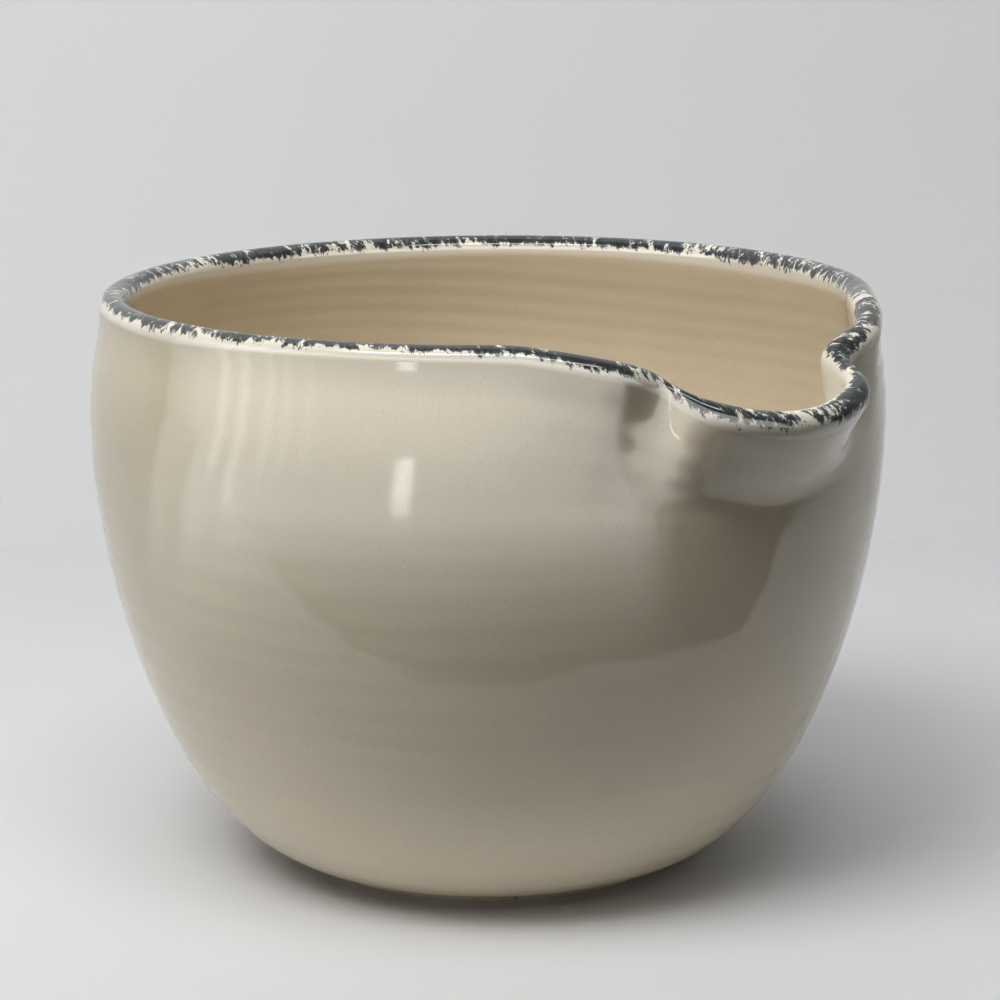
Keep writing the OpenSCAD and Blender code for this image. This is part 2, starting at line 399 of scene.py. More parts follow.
def hand_marks(s, f, rows):
    """Glaze thickness over rows and columns: the plain one, less rings and wobble of the hand.

    Rings are cosines of the distance along the section plus one turn of the angle, so they climb as
    a spiral, and slow waves make them drift and swell. The wobble is a sum of slow waves. Outside,
    marks only go in, and near the glaze line the glaze thins to nothing over a rounded edge.
    """
    a = np.radians(column_angles())[None, :]
    run = rows["run"][:, None]
    inside = ease(MARKS_FROM, INSIDE_FADE, run)
    outside = ease(MARKS_FROM, OUTSIDE_FADE, -run)
    drift = sum(size * np.sin(turns * a + climb * run + start)
                for size, turns, climb, start in DRIFT_WAVES)
    wide = np.cos(2 * np.pi * run / WIDE_PITCH + a + drift)
    fine = np.cos(2 * np.pi * run / FINE_PITCH + 2 * a + FINE_DRIFT * drift + FINE_START)
    swell = SWELL_PLAIN + SWELL_SIZE * np.sin(SWELL_CLIMB * run + SWELL_START + a)
    inner = f.ring_depth * inside * (WIDE_SHARE * wide * swell + FINE_SHARE * fine)
    grooves = 0.5 + 0.5 * np.cos(2 * np.pi * run / OUTER_PITCH + a + drift)
    outer = f.outer_ring_depth * outside * grooves * swell
    waves = sum((size * np.cos(turns * a + start + climb * run)
                 for size, turns, climb, start in WALL_WAVES), 0.5)
    stray = f.wobble * waves * (outside + LIP_WOBBLE * (1 - outside) * (1 - inside))
    edge = run - run[0]
    full = np.sqrt(np.clip(edge / EDGE_WIDTH, EDGE_LEAST, 1))
    full = full * (2 - full)
    return (s.glaze - outer - stray + inner) * full


def lip_place(s, p, rows):
    """Where each point lies for the sponged dabs: on a plain ring that is as long as the real lip.

    The angle on the ring is the length along the pulled lip, and the height is the distance across
    it, so dabs keep their size round the spout. A little turn with the distance makes them lean.
    """
    crest = rows["crest"]
    q = rows["p"][crest] + s.glaze * rows["n"][crest]
    line = pull_spout(s, p, q[0], q[1], 0.5)[0]
    steps = np.linalg.norm(np.roll(line, -1, axis=0) - line, axis=1)
    along = np.concatenate([[0], np.cumsum(steps)[:-1]])
    radius = steps.sum() / (2 * np.pi)
    run = rows["run"][:, None]
    turn = along[None, :] / radius + DAB_LEAN * run / radius
    high = np.broadcast_to(DAB_SQUASH * run, turn.shape)
    return np.stack([radius * np.cos(turn), radius * np.sin(turn), high], -1)


def band_edges():
    """Three edges from the lip's crest, column by column, in metres.

    The sponged band's outer and inner edge come first: plain round the bowl, wider outside the
    spout and narrow inside it, with a slow wander. The third is where the pale lip ends inside; far
    down on both flanks of the spout that pale is painted light where the flanks catch the light.
    """
    signed = signed_angles()
    t = np.radians(column_angles())
    outer_plain, outer_spout, outer_half = BAND_OUTER
    inner_plain, inner_spout, inner_half = BAND_INNER
    outer = (outer_plain + outer_spout * hump(signed / outer_half)
             + BAND_WANDER * np.sin(3 * t + 1) + BAND_WANDER * np.sin(7 * t))
    inner = inner_plain + inner_spout * hump(signed / inner_half) + INNER_WANDER * np.sin(4 * t + 2)
    # The pale end runs far down the spout's flanks: painted light on the lit inner flanks
    pale = inner + PALE_LIT_LEAST + LIT_FLANK_DOWN * hump((np.abs(signed) - LIT_FLANK_AT) / LIT_FLANK_HALF)
    return outer, inner, pale


# ---- Meshes


def ring_faces(rows, columns, poles):
    """Corner indices of quads between neighbouring rings, and of triangles round the poles.

    Ring points are numbered row by row. Without poles the last ring joins the first. With them, the
    first two points are the poles at the first and at the last ring.
    """
    start = 2 if poles else 0
    j = np.arange(columns)
    k = (j + 1) % columns
    i = np.arange(rows - 1 if poles else rows)
    a = start + i[:, None] * columns
    b = start + ((i + 1) % rows)[:, None] * columns
    quads = np.stack([a + j, a + k, b + k, b + j], -1).reshape(-1, 4)
    if not poles:
        return quads, np.zeros((0, 3), int)
    last = start + (rows - 1) * columns
    return quads, np.vstack([np.stack([np.zeros(columns, int), start + k, start + j], -1),
                             np.stack([np.ones(columns, int), last + j, last + k], -1)])


def placed(name, data):
    """An object at the origin with this data, linked to the scene."""
    made = bpy.data.objects.new(name, data)
    bpy.context.scene.collection.objects.link(made)
    return made


def volume(points, quads, triangles):
    """Signed volume: a sixth of the triple product of each triangle's corners, summed."""
    t = np.vstack([quads[:, [0, 1, 2]], quads[:, [0, 2, 3]], triangles])
    p = points[t]
    return float(np.einsum("ij,ij->i", p[:, 0], np.cross(p[:, 1], p[:, 2])).sum() / 6)


def make_mesh(name, points, quads, triangles, normals, marks):
    """A mesh object from whole arrays, with its own smooth normals and its marks.

    It is turned so that its faces look outwards: a volume below zero means that they look inwards.
    """
    if volume(points, quads, triangles) < 0:
        quads, triangles = quads[:, ::-1], triangles[:, ::-1]
    mesh = bpy.data.meshes.new(name)
    mesh.vertices.add(len(points))
    mesh.vertices.foreach_set("co", points.astype(np.float32).ravel())
    corners = np.concatenate([quads.ravel(), triangles.ravel()]).astype(np.int32)
    starts = np.concatenate([np.arange(len(quads)) * 4,
                             len(quads) * 4 + np.arange(len(triangles)) * 3])
    mesh.loops.add(len(corners))
    mesh.loops.foreach_set("vertex_index", corners)
    mesh.polygons.add(len(starts))
    mesh.polygons.foreach_set("loop_start", starts.astype(np.int32))
    mesh.update(calc_edges=True)
    mesh.polygons.foreach_set("use_smooth", np.ones(len(starts), bool))
    for mark, values in marks.items():
        kind, key = ("FLOAT_VECTOR", "vector") if values.ndim == 2 else ("FLOAT", "value")
        layer = mesh.attributes.new(mark, kind, "POINT")
        layer.data.foreach_set(key, values.astype(np.float32).ravel())
    mesh.normals_split_custom_set_from_vertices(normals.tolist())
    mesh.validate()
    return placed(name, mesh)


def grid_normals(grid):
    """Normals of a grid that closes round: the cross product of its slopes across and down."""
    down = np.gradient(grid, axis=0)
    wrapped = np.concatenate([grid[:, -1:], grid, grid[:, :1]], axis=1)
    across = wrapped[:, 2:] - wrapped[:, :-2]
    n = np.cross(across, down)
    size = np.linalg.norm(n, axis=2, keepdims=True)
    return np.where(size > TINY, n / np.maximum(size, TINY), [0.0, 0.0, 1.0])


def whole_skin(scene):
    """The glazed skin as one grid with its normals, its marks and the clay surface behind it."""
    s, p, f = scene.bowl_sizes, scene.spout_sizes, scene.bowl_finish
    rows = skin_rows(s)
    thick = hand_marks(s, f, rows)
    r, z = rows["p"][:, :1], rows["p"][:, 1:]
    nr, nz = rows["n"][:, :1], rows["n"][:, 1:]
    side = rows["side"][:, None]
    front = pull_spout(s, p, r + thick * nr, z + thick * nz, side)
    back = pull_spout(s, p, np.broadcast_to(r, thick.shape), np.broadcast_to(z, thick.shape), side)
    outer, inner, pale = band_edges()
    run = np.broadcast_to(rows["run"][:, None], thick.shape)
    normals = grid_normals(front)
    return {"rows": rows, "front": front, "back": back, "normals": normals,
            "back_normals": -normals, "place": lip_place(s, p, rows),
            "from_outer": run + outer[None, :], "from_inner": inner[None, :] - run,
            "from_pale": pale[None, :] - run}


def thinned(first, last, count):
    """Row numbers from first to last, count of them, evenly spread, both ends kept."""
    return np.unique(np.round(np.linspace(first, last, count)).astype(int))


def glaze_piece(scene, name, start, end):
    """A closed coat between two of the rows that have names.

    It is rings of the clay behind it, in fewer rows, and then rings of its front. A coat that ends
    in the middle of the floor closes with two poles, the others close round the section.
    """
    skin = whole_skin(scene)
    first, last = skin["rows"][start], skin["rows"][end]
    front_rows = np.arange(first, last + 1)
    back_rows = thinned(first, last, min(BACK_ROWS, last - first + 1))[::-1]
    poles = end == "middle"
    if poles:
        front_rows, back_rows = front_rows[:-1], back_rows[1:]

    def both(front_key, back_key):
        rings = np.concatenate([skin[back_key][back_rows], skin[front_key][front_rows]])
        rings = rings.reshape(-1, *rings.shape[2:])
        if not poles:
            return rings
        return np.concatenate([skin[back_key][-1, :1], skin[front_key][-1, :1], rings])

    columns = skin["front"].shape[1]
    quads, triangles = ring_faces(len(front_rows) + len(back_rows), columns, poles)
    marks = {key: both(key, key) for key in ("from_outer", "from_inner", "from_pale", "place")}
    return make_mesh(name, both("front", "back"), quads, triangles,
                     both("normals", "back_normals"), marks)


def rounded(corners, radius, count):
    """An open line of corners, each inner one rounded by a curve whose handle is the corner."""
    out = [corners[:1]]
    for before, corner, after in zip(corners[:-2], corners[1:-1], corners[2:]):
        u = (before - corner) / np.linalg.norm(before - corner)
        v = (after - corner) / np.linalg.norm(after - corner)
        t = np.linspace(0, 1, count)[:, None]
        a, b = corner + radius * u, corner + radius * v
        out.append((1 - t) ** 2 * a + 2 * t * (1 - t) * corner + t * t * b)
    out.append(corners[-1:])
    return np.vstack(out)


def clay_piece(scene, name):
    """The clay: recess, foot ring, wall, lip, inside wall and floor as rings between two poles.

    The foot's profile is a line of corners, softly rounded, with turning lines in its recess: the
    depth times one plus a cosine of the distance from the axis.
    """
    s, p = scene.bowl_sizes, scene.spout_sizes
    rows = skin_rows(s)
    ring_in = s.foot / 2 - s.foot_width
    foot_r = s.foot / 2
    corners = np.array([
        [MIDDLE_RING, s.recess], [ring_in - s.recess, s.recess], [ring_in, 0.0],
        [foot_r - s.foot_taper, 0.0], [foot_r, s.foot_height], rows["p"][0]])
    foot = rounded(corners, FOOT_ROUND, FOOT_CORNER_POINTS)
    steps = np.linalg.norm(np.diff(foot, axis=0), axis=1)
    along = np.concatenate([[0], np.cumsum(steps)])
    even = np.unique(np.concatenate([along, np.arange(0, along[-1], FOOT_STEP)]))
    foot = np.stack([np.interp(even, along, foot[:, 0]), np.interp(even, along, foot[:, 1])], 1)
    in_recess = foot[:, 0] < ring_in - s.recess - TURNING_MARGIN
    lines = TURNING_DEPTH * (1 + np.cos(2 * np.pi * foot[:, 0] / TURNING_PITCH))
    foot[:, 1] += np.where(in_recess, lines, 0)
    outside_rows, lip_rows, inside_rows = CLAY_ROWS
    picks = np.concatenate([thinned(1, rows["rim"], outside_rows),
                            thinned(rows["rim"] + 1, rows["liner"], lip_rows),
                            thinned(rows["liner"] + 1, len(rows["run"]) - 2, inside_rows)])
    profile = np.concatenate([foot, rows["p"][picks]])
    side = np.concatenate([np.zeros(len(foot)), rows["side"][picks]])[:, None]
    shape = (len(profile), len(column_angles()))
    grid = pull_spout(s, p, np.broadcast_to(profile[:, :1], shape),
                      np.broadcast_to(profile[:, 1:], shape), side)
    low, high = foot[0, 1], rows["p"][-1, 1]
    points = np.concatenate([[[0, 0, low]], [[0, 0, high]], grid.reshape(-1, 3)])
    normals = np.concatenate([[[0, 0, -1.0]], [[0, 0, 1.0]], grid_normals(grid).reshape(-1, 3)])
    quads, triangles = ring_faces(*shape, True)
    return make_mesh(name, points, quads, triangles, normals, {})


# ---- Materials


# Noises: scale per metre, detail, roughness and distortion
CLUSTERS = (330.0, 2.0, 0.55, 0.8)
DABS = (760.0, 4.0, 0.68, 0.9)
GRAINS = (2600.0, 2.0, 0.6)
STRETCHES = (42.0, 2.0, 0.5)
CLOUDS = (16.0, 3.0, 0.55)
LINES = (1.0, 3.0, 0.6, 0.2)
PEPPER = (1500.0, 2.0, 0.6)
GLAZE_SKIN = (260.0, 2.0, 0.5)
TOAST = (26.0, 4.0, 0.6)
SAND = (900.0, 4.0, 0.7)
GRIT = (420.0, 3.0, 0.6)

# Throwing lines: their noise is slow round the bowl and quick up it
LINE_STRETCH = (3.0, 3.0, 210.0)

# Values of a noise that are read as none and as all
NOISE_RANGE = (0.3, 0.7)
LINE_RANGE = (0.35, 0.7)
PEPPER_RANGE = (0.46, 0.70)
SAND_RANGE = (0.5, 0.75)

# The sponge's field: shares of its noises; over how many metres inside each edge it rises, and from
# what to what; and the same from the spout's flanks to its middle, measured on the lip's ring
CLUSTER_SHARE = 0.44
DAB_SHARE = 0.44
GRAIN_SHARE = 0.12
STRETCH_SHARE = 0.32
OUTER_RISE = (-0.0008, 0.0040, -0.20, 0.12)
INNER_RISE = (-0.0008, 0.0034, -0.20, 0.12)
SPOUT_RISE = (0.085, 0.112, 0.0, 0.035)

# The field where colour starts and is whole, and where it grows thick; and how many metres past the
# band's edges the last dabs fade
INK_RANGE = (0.540, 0.580)
THICK_RANGE = (0.55, 0.68)
STRAY_RANGE = (-0.0035, -0.0028)

# The pale lip, a paler glaze with painted light on its top and on the spout's lit flanks: metres
# over which it starts at the outer edge and ends inside
PALE_LIT_START = (-0.0006, 0.0006)
PALE_LIT_END = (-0.0014, 0.0008)

# Dots: cells per metre, radius of their core and their edge in cells, and how rare they are
SPECKS = (640.0, (0.05, 0.17), (0.50, 0.98))
GROG = (340.0, (0.10, 0.26), (0.62, 0.8))

# Tones as shares of the base colour, and how much of them is mixed in
CLOUD_TONES = (0.955, 1.03)
LINE_TONE, LINE_MIX = 0.84, 0.22
PEPPER_TONE, PEPPER_MIX = 0.80, 0.32
# The pale lip's share also carries painted light on the lip's top and the spout's lit flanks
PALE_LIT_MIX = 0.85
INK_MIX = 0.97
CLAY_LIGHT = 1.12
CLAY_TOASTED = (0.82, 0.72, 0.62)
SAND_TONE, SAND_MIX = 0.62, 0.45
GROG_COLOUR, GROG_MIX = (0.09, 0.055, 0.035), 0.7
SHEET_TONES = (0.985, 1.0)
SHEET_NOISE = (2.0, 0.5)

# Roughness from smooth to dull, and how glass bends light
GLOSS = (0.045, 0.095)
DRY = (0.78, 0.95)
SHEET_ROUGHNESS = 0.75
SHEET_SPECULAR = 0.2
GLAZE_IOR = 1.52

# Shares of the noises in the height, and bumps: depth in metres and strength
SKIN_SHARE, LINE_SHARE, GRIT_SHARE = 0.5, 0.8, 0.5
SKIN_BUMP = (0.00006, 0.6)
PIT_BUMP = (0.00004, 0.5)
DAB_BUMP = (0.00005, 0.35)
SAND_BUMP = (0.00018, 0.7)

# Sockets of a colour mix: its two colours and its result
MIX_A, MIX_B, MIX_RESULT = 6, 7, 2


class Nodes:
    """Short calls for a material's nodes; each returns the output that is used."""

    def __init__(self, name):
        self.material = bpy.data.materials.new(name)
        self.material.use_nodes = True
        self.tree = self.material.node_tree
        self.shader = self.tree.nodes["Principled BSDF"]
        self.output = self.tree.nodes["Material Output"]

    def add(self, kind, inputs=None, **options):
        """A node with its options and inputs set."""
        made = self.tree.nodes.new(kind)
        for key, value in options.items():
            setattr(made, key, value)
        for key, value in (inputs or {}).items():
            self.put(made.inputs[key], value)
        return made

    def put(self, socket, value):
        """Link a socket, or set a number on it."""
        if isinstance(value, bpy.types.NodeSocket):
            self.tree.links.new(value, socket)
        else:
            socket.default_value = value

    def place(self):
        """The object's own coordinates."""
        return self.add("ShaderNodeTexCoord").outputs["Object"]

    def mark(self, name, vector=False):
        """A mark that the mesh carries."""
        made = self.add("ShaderNodeAttribute", attribute_type="GEOMETRY", attribute_name=name)
        return made.outputs["Vector" if vector else "Fac"]

    def stretched(self, vector, scale):
        """The place, scaled on each axis."""
        return self.add("ShaderNodeMapping", {"Vector": vector, "Scale": scale}).outputs[0]

    def noise(self, vector, scale, detail, rough, distort=0.0):
        """Cloudy noise, mostly between a third and two thirds."""
        return self.add("ShaderNodeTexNoise", {
            "Vector": vector, "Scale": scale, "Detail": detail, "Roughness": rough,
            "Distortion": distort}).outputs[0]

    def math(self, operation, a, b):
        """One sum of two values."""
        made = self.add("ShaderNodeMath", operation=operation)
        self.put(made.inputs[0], a)
        self.put(made.inputs[1], b)
        return made.outputs[0]

    def times(self, a, b):
        return self.math("MULTIPLY", a, b)

    def plus(self, a, b):
        return self.math("ADD", a, b)

    def remap(self, value, low, high, to_low=0.0, to_high=1.0, smooth=False):
        """A value read between two ends, straight or level at both ends, and clipped outside."""
        made = self.add("ShaderNodeMapRange", {0: value, 1: low, 2: high, 3: to_low, 4: to_high})
        made.interpolation_type = "SMOOTHSTEP" if smooth else "LINEAR"
        return made.outputs[0]

    def mix(self, factor, a, b):
        """A colour between two colours."""
        made = self.add("ShaderNodeMix", data_type="RGBA")
        self.put(made.inputs[0], factor)
        for socket, value in ((MIX_A, a), (MIX_B, b)):
            whole = value if isinstance(value, bpy.types.NodeSocket) else (*value, 1.0)
            self.put(made.inputs[socket], whole)
        return made.outputs[MIX_RESULT]

    def bump(self, height, distance, strength, normal=None):
        """A normal that leans with the slope of the height, on top of another normal."""
        made = self.add("ShaderNodeBump", {"Height": height, "Distance": distance,
                                           "Strength": strength})
        if normal is not None:
            self.put(made.inputs["Normal"], normal)
        return made.outputs[0]

    def dots(self, place, cells, size, chosen, channel):
        """Round dots in the middles of cells, strong in some cells and missing in others."""
        found = self.add("ShaderNodeTexVoronoi", {"Vector": place, "Scale": cells})
        picked = self.add("ShaderNodeSeparateColor", {"Color": found.outputs["Color"]})
        dot = self.remap(found.outputs["Distance"], *size, 1.0, 0.0, smooth=True)
        return self.times(dot, self.remap(picked.outputs[channel], *chosen))

    def surface(self, level, first, second):
        """The material with a surface between two shaders: the first at none, the second at one."""
        both = self.add("ShaderNodeMixShader", {0: level})
        self.put(both.inputs[1], first)
        self.put(both.inputs[2], second)
        self.put(self.output.inputs["Surface"], both.outputs[0])
        return self.material


def shade(base, factor):
    """A colour made darker or lighter by a factor."""
    return tuple(min(1.0, c * factor) for c in base)


def sponge_mask(n):
    """Where the sponged colour lies: blotches between the band's two edges, and how thick it is.

    Blotches are three noises on the lip's own ring, from clusters down to single sponge marks, with
    cream gaps and pin holes. The sum falls off towards both edges of the band, so they are ragged.
    A slow noise makes some stretches dense and others open, and the spout's front is denser.
    """
    place = n.mark("place", vector=True)
    clusters = n.noise(place, *CLUSTERS)
    dabs = n.noise(place, *DABS)
    grains = n.noise(place, *GRAINS)
    slow = n.noise(place, *STRETCHES)
    outer = n.remap(n.mark("from_outer"), *OUTER_RISE)
    inner = n.remap(n.mark("from_inner"), *INNER_RISE)
    edge = n.math("MINIMUM", outer, inner)
    field = n.plus(n.times(clusters, CLUSTER_SHARE), n.times(dabs, DAB_SHARE))
    field = n.plus(field, n.times(grains, GRAIN_SHARE))
    field = n.plus(field, edge)
    field = n.plus(field, n.times(n.math("SUBTRACT", slow, 0.5), STRETCH_SHARE))
    towards_spout = n.add("ShaderNodeSeparateXYZ", {0: place}).outputs[0]
    field = n.plus(field, n.remap(towards_spout, *SPOUT_RISE, smooth=True))
    solid = n.remap(field, *INK_RANGE, smooth=True)
    depth = n.remap(field, *THICK_RANGE, smooth=True)
    near = n.times(n.remap(n.mark("from_outer"), *STRAY_RANGE),
                   n.remap(n.mark("from_inner"), *STRAY_RANGE))
    return n.times(solid, near), depth


def glaze_material(finish, name, base, specks, lines):
    """Glossy cream glaze: clouds, faint throwing lines, pepper, iron specks and the sponged dabs.

    Each tone is mixed over the last one. Colour and gloss come from the place, the pale lip and the
    dabs from the marks. The pale lip is a thick, paler glaze with painted light on the lip's top
    and down the spout's lit inner flanks. Specks are small pits, and the dabs stand up a little.
    """
    n = Nodes(name)
    place = n.place()
    cloud = n.noise(place, *CLOUDS)
    thrown = n.noise(n.stretched(place, LINE_STRETCH), *LINES)
    pepper = n.noise(place, *PEPPER)
    tone = n.mix(n.remap(cloud, *NOISE_RANGE), *(shade(base, share) for share in CLOUD_TONES))
    tone = n.mix(n.times(n.remap(thrown, *LINE_RANGE), LINE_MIX * lines), tone,
                 shade(base, LINE_TONE))
    tone = n.mix(n.times(n.remap(pepper, *PEPPER_RANGE), PEPPER_MIX), tone,
                 shade(base, PEPPER_TONE))
    dots = n.times(n.dots(place, *SPECKS, 0), specks)
    tone = n.mix(dots, tone, finish.speck)
    # Pale lip: paler glaze over the lip, with painted light on its top and on the spout's lit inner
    # flanks
    lip = n.times(n.remap(n.mark("from_outer"), *PALE_LIT_START, smooth=True),
                  n.remap(n.mark("from_pale"), *PALE_LIT_END, smooth=True))
    tone = n.mix(n.times(lip, PALE_LIT_MIX), tone, finish.pale)
    mask, depth = sponge_mask(n)
    ink = n.mix(depth, finish.sponge_thin, finish.sponge)
    tone = n.mix(n.times(mask, INK_MIX), tone, ink)
    n.put(n.shader.inputs["Base Color"], tone)
    skin = n.noise(place, *GLAZE_SKIN)
    n.put(n.shader.inputs["Roughness"], n.remap(skin, *NOISE_RANGE, *GLOSS))
    n.shader.inputs["IOR"].default_value = GLAZE_IOR
    height = n.plus(n.times(skin, SKIN_SHARE), n.times(thrown, LINE_SHARE))
    soft = n.bump(height, *SKIN_BUMP)
    pits = n.bump(n.math("SUBTRACT", 1.0, dots), *PIT_BUMP, soft)
    n.put(n.shader.inputs["Normal"], n.bump(mask, *DAB_BUMP, pits))
    return n.material


def clay_material(finish, name):
    """Bare fired stoneware: buff with toasted clouds, dark grog and a dry sandy surface."""
    n = Nodes(name)
    base = finish.clay
    toasted = tuple(c * share for c, share in zip(base, CLAY_TOASTED))
    place = n.place()
    toast = n.noise(place, *TOAST)
    sand = n.noise(place, *SAND)
    tone = n.mix(n.remap(toast, *LINE_RANGE), shade(base, CLAY_LIGHT), toasted)
    tone = n.mix(n.times(n.remap(sand, *SAND_RANGE), SAND_MIX), tone, shade(base, SAND_TONE))
    tone = n.mix(n.times(n.dots(place, *GROG, 1), GROG_MIX), tone, GROG_COLOUR)
    n.put(n.shader.inputs["Base Color"], tone)
    n.put(n.shader.inputs["Roughness"], n.remap(sand, *NOISE_RANGE, *DRY))
    grit = n.noise(place, *GRIT)
    n.put(n.shader.inputs["Normal"], n.bump(n.plus(sand, n.times(grit, GRIT_SHARE)), *SAND_BUMP))
    return n.material


def matt_nodes(name, base, scale):
    """Nodes of a plain matt sheet for the stage, with very faint slow clouds of this scale."""
    n = Nodes(name)
    cloud = n.noise(n.place(), scale, *SHEET_NOISE)
    n.put(n.shader.inputs["Base Color"],
          n.mix(n.remap(cloud, *NOISE_RANGE), *(shade(base, share) for share in SHEET_TONES)))
    n.shader.inputs["Roughness"].default_value = SHEET_ROUGHNESS
    n.shader.inputs["Specular IOR Level"].default_value = SHEET_SPECULAR
    return n


def one_sided(n):
    """The same sheet seen from its front, and nothing at all seen from behind."""
    return n.surface(n.add("ShaderNodeNewGeometry").outputs["Backfacing"], n.shader.outputs[0],
                     n.add("ShaderNodeBsdfTransparent").outputs[0])


def dress(piece, node, material):
    """The piece stands for its solid, rides on the bowl and wears its material."""
    piece.data.materials.append(material)
    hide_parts(node)
    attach(piece, "root")


# ---- Operators


class BOWL_OT_throw(Operator):
    """Make the clay body with its foot ring and spout"""

    bl_idname = "bowl.throw_body"
    bl_label = "Throw the body"

    def execute(self, context):
        look = clay_material(context.scene.bowl_finish, "bare_stoneware")
        body = clay_piece(context.scene, "thrown_body")
        dress(body, "stoneware_body", look)
        return {"FINISHED"}


class BOWL_OT_glaze_outside(Operator):
    """Make the cream glaze from the glaze line up to the lip"""

    bl_idname = "bowl.glaze_outside"
    bl_label = "Glaze the outside"

    def execute(self, context):
        finish = context.scene.bowl_finish
        look = glaze_material(finish, "cream_glaze", finish.cream, specks=0.5, lines=0.6)
        coat = glaze_piece(context.scene, "cream_coat", "start", "rim")
        dress(coat, "outside_glaze", look)
        return {"FINISHED"}


class BOWL_OT_glaze_inside(Operator):
    """Make the liner glaze from the lip down to the middle of the floor"""

    bl_idname = "bowl.glaze_inside"
    bl_label = "Glaze the inside"

    def execute(self, context):
        finish = context.scene.bowl_finish
        look = glaze_material(finish, "liner_glaze", finish.liner, specks=0.35, lines=0.5)
        coat = glaze_piece(context.scene, "liner_coat", "liner", "middle")
        dress(coat, "inside_glaze", look)
        return {"FINISHED"}


class BOWL_OT_sponge_rim(Operator):
    """Make the rolled lip with its sponged dabs"""

    bl_idname = "bowl.sponge_rim"
    bl_label = "Sponge the rim"

    def execute(self, context):
        finish = context.scene.bowl_finish
        look = glaze_material(finish, "sponged_glaze", finish.cream, specks=0.3, lines=0.3)
        coat = glaze_piece(context.scene, "sponged_lip", "rim", "liner")
        dress(coat, "sponged_rim", look)
        return {"FINISHED"}


# ---- Stage


# The photograph's view: its side of the bowl, distance, height, small turns of the camera, and the
# focal length in pixels of a picture of this width
VIEW_FROM = math.radians(-40.91)
VIEW_DISTANCE = 0.850
VIEW_HEIGHT = 0.285516
VIEW_DOWN = 0.21507
VIEW_TURN = 0.00369
VIEW_ROLL = -0.00605
FOCAL_PIXELS = 3104.474
PICTURE_WIDTH = 1000
SENSOR_WIDTH = 36.0

# Level directions into the picture and to its right
INTO = Vector((-math.cos(VIEW_FROM), -math.sin(VIEW_FROM), 0))
RIGHT = Vector((INTO.y, -INTO.x, 0))

# Corners are metres to the right of the bowl, behind it and up, as the camera looks; then the
# scales of the sheets' clouds, and the grey that the camera sees past them
FLOOR_CORNERS = ((-3, -3, 0), (3, -3, 0), (3, 3, 0), (-3, 3, 0))
BACKDROP_CORNERS = ((-2, 0.354, 0), (2, 0.386, 0), (2, 0.386, 2), (-2, 0.354, 2))
FLOOR_CLOUDS = 9.0
BACKDROP_CLOUDS = 6.0
BEYOND = (0.66, 0.665, 0.67, 1)

# Lamps that look at one point: place, width and height, tint
LAMPS_AIM = (0, 0, 0.08)
LAMPS = {
    "window": ((-0.553, -0.659, 1.31), (0.8, 0.6), (1.0, 0.99, 0.97)),
    "overhead": ((0.0, -0.513, 1.49), (0.9, 0.7), (1.0, 0.995, 0.98)),
    "low": ((-1.35, -0.63, 0.29), (0.6, 0.5), (0.98, 0.99, 1.0)),
}

# The dark cards: their colour and clouds, one past an edge in the pale ground, a strip in front of
# the bowl, and their levels above the ground
DARK_COLOUR = (0.015, 0.015, 0.014)
DARK_CLOUDS = 3.0
DARK_ROOM = ((-3, -3), (3, -3), (3, 0.5), (1.3, 0.5), (0.59, 0.12), (0.42, -0.005), (0.35, -0.055),
             (0.28, -0.070), (0.20, -0.090), (0.15, -0.140), (0.08, -0.182), (-3, -0.185))
DARK_FRONT = ((-0.3, -0.14), (-0.3, -0.2), (0.3, -0.2), (0.3, -0.14))
ROOM_LEVEL = 0.0004
FRONT_LEVEL = 0.0002

# Fans of light: three turns from the view in degrees, rungs of distance and height, the distances
# over which the light grows, the share of each side over which it fades, and its strength's name
FANS = {
    "bright_room": ((-115, 8, 47), ((0.16, 0.0008), (3.0, 0.0008), (3.0, 1.5)),
                    (0.16, 0.52), 0.36, "veil"),
    "far_room": ((34, 52, 72), ((0.5, 0.0010), (3.02, 0.0010), (3.02, 1.5)),
                 (0.5, 0.8), 0.4, "veil"),
    "lip_line": ((-60, -8, 40), ((0.80, 1.26), (0.92, 1.16)), (0.1, 0.2), 0.3, "line"),
}
FAN_STEPS = 16

# Bright panes: turn and half width in degrees, nearest distance, whether the pane goes on up a
# wall, and its share of the strength; then the level, ends, growth and fading that they share
PANES = ((-78, 2.4, 0.62, True, 0.42), (-71, 2.6, 0.42, True, 0.44),
         (-62.5, 2.2, 0.62, True, 0.41), (-57, 2.0, 0.75, True, 0.39),
         (-50, 2.0, 0.80, True, 0.38), (-22, 3.6, 0.44, False, 0.85))
PANE_LEVEL = 0.0012
PANE_END = 2.0
PANE_WALL = 2.9
PANE_TOP = 2.0
PANE_GROWS = 1.4
PANE_FADES = 0.7

# Light of the fans: its colour, and how much stronger it grows between two distances
GLOW_COLOUR = (1.0, 0.985, 0.955, 1.0)
GLOW_GAIN = 1.1
GLOW_RANGE = (1.0, 3.2)


def on_stage(x, y, z):
    """A point x to the right of the bowl, y behind it and z up."""
    return tuple(RIGHT * x + INTO * y + Vector((0, 0, z)))


def stage_mesh(name, corners, faces, material):
    """A mesh that belongs to the stage."""
    mesh = bpy.data.meshes.new(name)
    mesh.from_pydata(corners, [], faces)
    mesh.update()
    mesh.materials.append(material)
    made = placed(name, mesh)
    return made


def sheet(name, corners, material):
    """A flat sheet between its corners."""
    return stage_mesh(name, corners, [tuple(range(len(corners)))], material)


